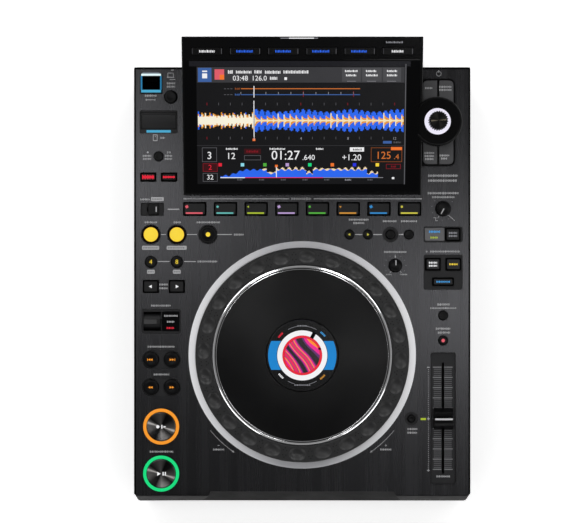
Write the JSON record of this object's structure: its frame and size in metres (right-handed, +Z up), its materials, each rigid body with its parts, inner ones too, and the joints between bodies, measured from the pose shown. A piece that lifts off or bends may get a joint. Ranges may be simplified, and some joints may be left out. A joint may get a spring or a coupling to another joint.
{
  "type": "tabletop DJ media player",
  "caption": "Tabletop DJ media player with a tilted touch display, a large jog wheel, a tempo fader, a rotary selector and lit keys.",
  "frame": {"origin": "on the surface it stands on, in the middle of its width and depth", "axes": "+X to the right of the player, +Y towards its rear, +Z up"},
  "size_m": [0.329, 0.453, 0.118],
  "materials": {
    "painted_plate": "brushed dark grey",
    "chassis_paint": "fine textured black",
    "gloss_black": "gloss",
    "screen_glass": "gloss touch panel",
    "light_ring": "satin translucent",
    "dial_rubber": "matt",
    "circuit_board": "satin",
    "dark_plastic": "satin",
    "key_plastic": "satin",
    "turned_metal": "spun",
    "amber_plastic": "translucent",
    "foot_rubber": "matt"
  },
  "bodies": {
    "case": {"bottom_chassis": "chassis_paint", "display_glass": "screen_glass", "display_housing": "gloss_black", "fader_unit": "dark_plastic", "foot_front_left": "foot_rubber", "foot_front_right": "foot_rubber", "foot_rear_left": "foot_rubber", "foot_rear_right": "foot_rubber", "jog_centre_display": "gloss_black", "jog_light_ring": "light_ring", "main_board": "circuit_board", "media_port": "dark_plastic", "upper_case": "painted_plate"},
    "play_button": {"play_button": "turned_metal"},
    "cue_button": {"cue_button": "turned_metal"},
    "beat_jump_back_key": {"beat_jump_back_key": "key_plastic"},
    "beat_jump_forward_key": {"beat_jump_forward_key": "key_plastic"},
    "beat_loop_long_button": {"beat_loop_long_button": "key_plastic"},
    "beat_loop_short_button": {"beat_loop_short_button": "key_plastic"},
    "beat_sync_key": {"beat_sync_key": "key_plastic"},
    "call_back_button": {"call_back_button": "key_plastic"},
    "call_forward_button": {"call_forward_button": "key_plastic"},
    "delete_button": {"delete_button": "key_plastic"},
    "hot_cue_1_key": {"hot_cue_1_key": "key_plastic"},
    "hot_cue_2_key": {"hot_cue_2_key": "key_plastic"},
    "hot_cue_3_key": {"hot_cue_3_key": "key_plastic"},
    "hot_cue_4_key": {"hot_cue_4_key": "key_plastic"},
    "hot_cue_5_key": {"hot_cue_5_key": "key_plastic"},
    "hot_cue_6_key": {"hot_cue_6_key": "key_plastic"},
    "hot_cue_7_key": {"hot_cue_7_key": "key_plastic"},
    "hot_cue_8_key": {"hot_cue_8_key": "key_plastic"},
    "jog_mode_key": {"jog_mode_key": "key_plastic"},
    "key_sync_key": {"key_sync_key": "key_plastic"},
    "loop_in_button": {"loop_in_button": "amber_plastic"},
    "loop_out_button": {"loop_out_button": "amber_plastic"},
    "master_key": {"master_key": "key_plastic"},
    "master_tempo_button": {"master_tempo_button": "key_plastic"},
    "media_stop_button": {"media_stop_button": "key_plastic"},
    "memory_button": {"memory_button": "key_plastic"},
    "red_key_left": {"red_key_left": "key_plastic"},
    "red_key_right": {"red_key_right": "key_plastic"},
    "reloop_button": {"reloop_button": "key_plastic"},
    "search_back_button": {"search_back_button": "key_plastic"},
    "search_forward_button": {"search_forward_button": "key_plastic"},
    "tempo_range_button": {"tempo_range_button": "key_plastic"},
    "tempo_reset_button": {"tempo_reset_button": "key_plastic"},
    "time_mode_button": {"time_mode_button": "key_plastic"},
    "track_back_button": {"track_back_button": "key_plastic"},
    "track_forward_button": {"track_forward_button": "key_plastic"},
    "selector_keys": {"selector_keys": "dark_plastic"},
    "display_key_strip": {"display_key_strip": "gloss_black"},
    "jog_wheel": {"jog_dial": "dial_rubber", "jog_platter": "gloss_black"},
    "selector_knob": {"selector_knob": "key_plastic"},
    "jog_adjust_knob": {"jog_adjust_knob": "key_plastic"},
    "speed_adjust_knob": {"speed_adjust_knob": "key_plastic"},
    "direction_lever": {"direction_lever": "dark_plastic"},
    "card_door": {"card_door": "dark_plastic"},
    "slide_switch": {"slide_switch": "key_plastic"},
    "fader_cap": {"fader_cap": "key_plastic"}
  },
  "joints": [
    {"name": "jog_turn", "type": "hinge", "parent": "case", "child": "jog_wheel", "pos_m": [0, -0.0794, 0.08], "axis": [0, 0, 1], "continuous": true},
    {"name": "tempo_fader_slide", "type": "slide", "parent": "case", "child": "fader_cap", "axis": [0, 1, 0], "range_m": [-0.05, 0.05]},
    {"name": "selector_turn", "type": "hinge", "parent": "case", "child": "selector_knob", "pos_m": [0.1306, 0.14711, 0], "axis": [0, 0, 1], "continuous": true},
    {"name": "direction_lever_rock", "type": "hinge", "parent": "case", "child": "direction_lever", "pos_m": [-0.14675, -0.04679, 0.0704], "axis": [1, 0, 0], "range_deg": [-12, 12], "stiffness_Nm_per_rad": 0.2},
    {"name": "card_door_swing", "type": "hinge", "parent": "case", "child": "card_door", "pos_m": [-0.14035, 0.1561, 0.0784], "axis": [-1, 0, 0], "range_deg": [0, 95]},
    {"name": "slide_switch_slide", "type": "slide", "parent": "case", "child": "slide_switch", "axis": [-1, 0, 0], "range_m": [0, 0.004]},
    {"name": "jog_adjust_turn", "type": "hinge", "parent": "case", "child": "jog_adjust_knob", "pos_m": [0.09101, 0.00788, 0], "axis": [0, 0, 1], "range_deg": [-150, 150]},
    {"name": "speed_adjust_turn", "type": "hinge", "parent": "case", "child": "speed_adjust_knob", "pos_m": [0.13775, 0.06341, 0], "axis": [0, 0, 1], "range_deg": [-300, 0]},
    {"name": "play_button_press", "type": "slide", "parent": "case", "child": "play_button", "axis": [0, 0, -1], "range_m": [0, 0.0015], "stiffness_N_per_m": 1000, "springref_m": -0.001},
    {"name": "cue_button_press", "type": "slide", "parent": "case", "child": "cue_button", "axis": [0, 0, -1], "range_m": [0, 0.0015], "stiffness_N_per_m": 1000, "springref_m": -0.001},
    {"name": "selector_keys_press", "type": "slide", "parent": "case", "child": "selector_keys", "axis": [0, 0, -1], "range_m": [0, 0.001], "stiffness_N_per_m": 1500, "springref_m": -0.001},
    {"name": "display_key_strip_press", "type": "slide", "parent": "case", "child": "display_key_strip", "axis": [0, 0.1911, -0.9816], "range_m": [0, 0.0008], "stiffness_N_per_m": 2500, "springref_m": -0.001},
    {"name": "beat_jump_back_key_press", "type": "slide", "parent": "case", "child": "beat_jump_back_key", "axis": [0, 0, -1], "range_m": [0, 0.001], "stiffness_N_per_m": 800, "springref_m": -0.001},
    {"name": "beat_jump_forward_key_press", "type": "slide", "parent": "case", "child": "beat_jump_forward_key", "axis": [0, 0, -1], "range_m": [0, 0.001], "stiffness_N_per_m": 800, "springref_m": -0.001},
    {"name": "beat_loop_long_button_press", "type": "slide", "parent": "case", "child": "beat_loop_long_button", "axis": [0, 0, -1], "range_m": [0, 0.001], "stiffness_N_per_m": 800, "springref_m": -0.001},
    {"name": "beat_loop_short_button_press", "type": "slide", "parent": "case", "child": "beat_loop_short_button", "axis": [0, 0, -1], "range_m": [0, 0.001], "stiffness_N_per_m": 800, "springref_m": -0.001},
    {"name": "beat_sync_key_press", "type": "slide", "parent": "case", "child": "beat_sync_key", "axis": [0, 0, -1], "range_m": [0, 0.001], "stiffness_N_per_m": 800, "springref_m": -0.001},
    {"name": "call_back_button_press", "type": "slide", "parent": "case", "child": "call_back_button", "axis": [0, 0, -1], "range_m": [0, 0.001], "stiffness_N_per_m": 800, "springref_m": -0.001},
    {"name": "call_forward_button_press", "type": "slide", "parent": "case", "child": "call_forward_button", "axis": [0, 0, -1], "range_m": [0, 0.001], "stiffness_N_per_m": 800, "springref_m": -0.001},
    {"name": "delete_button_press", "type": "slide", "parent": "case", "child": "delete_button", "axis": [0, 0, -1], "range_m": [0, 0.001], "stiffness_N_per_m": 800, "springref_m": -0.001},
    {"name": "hot_cue_1_key_press", "type": "slide", "parent": "case", "child": "hot_cue_1_key", "axis": [0, 0, -1], "range_m": [0, 0.001], "stiffness_N_per_m": 800, "springref_m": -0.001},
    {"name": "hot_cue_2_key_press", "type": "slide", "parent": "case", "child": "hot_cue_2_key", "axis": [0, 0, -1], "range_m": [0, 0.001], "stiffness_N_per_m": 800, "springref_m": -0.001},
    {"name": "hot_cue_3_key_press", "type": "slide", "parent": "case", "child": "hot_cue_3_key", "axis": [0, 0, -1], "range_m": [0, 0.001], "stiffness_N_per_m": 800, "springref_m": -0.001},
    {"name": "hot_cue_4_key_press", "type": "slide", "parent": "case", "child": "hot_cue_4_key", "axis": [0, 0, -1], "range_m": [0, 0.001], "stiffness_N_per_m": 800, "springref_m": -0.001},
    {"name": "hot_cue_5_key_press", "type": "slide", "parent": "case", "child": "hot_cue_5_key", "axis": [0, 0, -1], "range_m": [0, 0.001], "stiffness_N_per_m": 800, "springref_m": -0.001},
    {"name": "hot_cue_6_key_press", "type": "slide", "parent": "case", "child": "hot_cue_6_key", "axis": [0, 0, -1], "range_m": [0, 0.001], "stiffness_N_per_m": 800, "springref_m": -0.001},
    {"name": "hot_cue_7_key_press", "type": "slide", "parent": "case", "child": "hot_cue_7_key", "axis": [0, 0, -1], "range_m": [0, 0.001], "stiffness_N_per_m": 800, "springref_m": -0.001},
    {"name": "hot_cue_8_key_press", "type": "slide", "parent": "case", "child": "hot_cue_8_key", "axis": [0, 0, -1], "range_m": [0, 0.001], "stiffness_N_per_m": 800, "springref_m": -0.001},
    {"name": "jog_mode_key_press", "type": "slide", "parent": "case", "child": "jog_mode_key", "axis": [0, 0, -1], "range_m": [0, 0.001], "stiffness_N_per_m": 800, "springref_m": -0.001},
    {"name": "key_sync_key_press", "type": "slide", "parent": "case", "child": "key_sync_key", "axis": [0, 0, -1], "range_m": [0, 0.001], "stiffness_N_per_m": 800, "springref_m": -0.001},
    {"name": "loop_in_button_press", "type": "slide", "parent": "case", "child": "loop_in_button", "axis": [0, 0, -1], "range_m": [0, 0.001], "stiffness_N_per_m": 800, "springref_m": -0.001},
    {"name": "loop_out_button_press", "type": "slide", "parent": "case", "child": "loop_out_button", "axis": [0, 0, -1], "range_m": [0, 0.001], "stiffness_N_per_m": 800, "springref_m": -0.001},
    {"name": "master_key_press", "type": "slide", "parent": "case", "child": "master_key", "axis": [0, 0, -1], "range_m": [0, 0.001], "stiffness_N_per_m": 800, "springref_m": -0.001},
    {"name": "master_tempo_button_press", "type": "slide", "parent": "case", "child": "master_tempo_button", "axis": [0, 0, -1], "range_m": [0, 0.001], "stiffness_N_per_m": 800, "springref_m": -0.001},
    {"name": "media_stop_button_press", "type": "slide", "parent": "case", "child": "media_stop_button", "axis": [0, 0, -1], "range_m": [0, 0.001], "stiffness_N_per_m": 800, "springref_m": -0.001},
    {"name": "memory_button_press", "type": "slide", "parent": "case", "child": "memory_button", "axis": [0, 0, -1], "range_m": [0, 0.001], "stiffness_N_per_m": 800, "springref_m": -0.001},
    {"name": "red_key_left_press", "type": "slide", "parent": "case", "child": "red_key_left", "axis": [0, 0, -1], "range_m": [0, 0.001], "stiffness_N_per_m": 800, "springref_m": -0.001},
    {"name": "red_key_right_press", "type": "slide", "parent": "case", "child": "red_key_right", "axis": [0, 0, -1], "range_m": [0, 0.001], "stiffness_N_per_m": 800, "springref_m": -0.001},
    {"name": "reloop_button_press", "type": "slide", "parent": "case", "child": "reloop_button", "axis": [0, 0, -1], "range_m": [0, 0.001], "stiffness_N_per_m": 800, "springref_m": -0.001},
    {"name": "search_back_button_press", "type": "slide", "parent": "case", "child": "search_back_button", "axis": [0, 0, -1], "range_m": [0, 0.001], "stiffness_N_per_m": 800, "springref_m": -0.001},
    {"name": "search_forward_button_press", "type": "slide", "parent": "case", "child": "search_forward_button", "axis": [0, 0, -1], "range_m": [0, 0.001], "stiffness_N_per_m": 800, "springref_m": -0.001},
    {"name": "tempo_range_button_press", "type": "slide", "parent": "case", "child": "tempo_range_button", "axis": [0, 0, -1], "range_m": [0, 0.001], "stiffness_N_per_m": 800, "springref_m": -0.001},
    {"name": "tempo_reset_button_press", "type": "slide", "parent": "case", "child": "tempo_reset_button", "axis": [0, 0, -1], "range_m": [0, 0.001], "stiffness_N_per_m": 800, "springref_m": -0.001},
    {"name": "time_mode_button_press", "type": "slide", "parent": "case", "child": "time_mode_button", "axis": [0, 0, -1], "range_m": [0, 0.001], "stiffness_N_per_m": 800, "springref_m": -0.001},
    {"name": "track_back_button_press", "type": "slide", "parent": "case", "child": "track_back_button", "axis": [0, 0, -1], "range_m": [0, 0.001], "stiffness_N_per_m": 800, "springref_m": -0.001},
    {"name": "track_forward_button_press", "type": "slide", "parent": "case", "child": "track_forward_button", "axis": [0, 0, -1], "range_m": [0, 0.001], "stiffness_N_per_m": 800, "springref_m": -0.001}
  ]
}
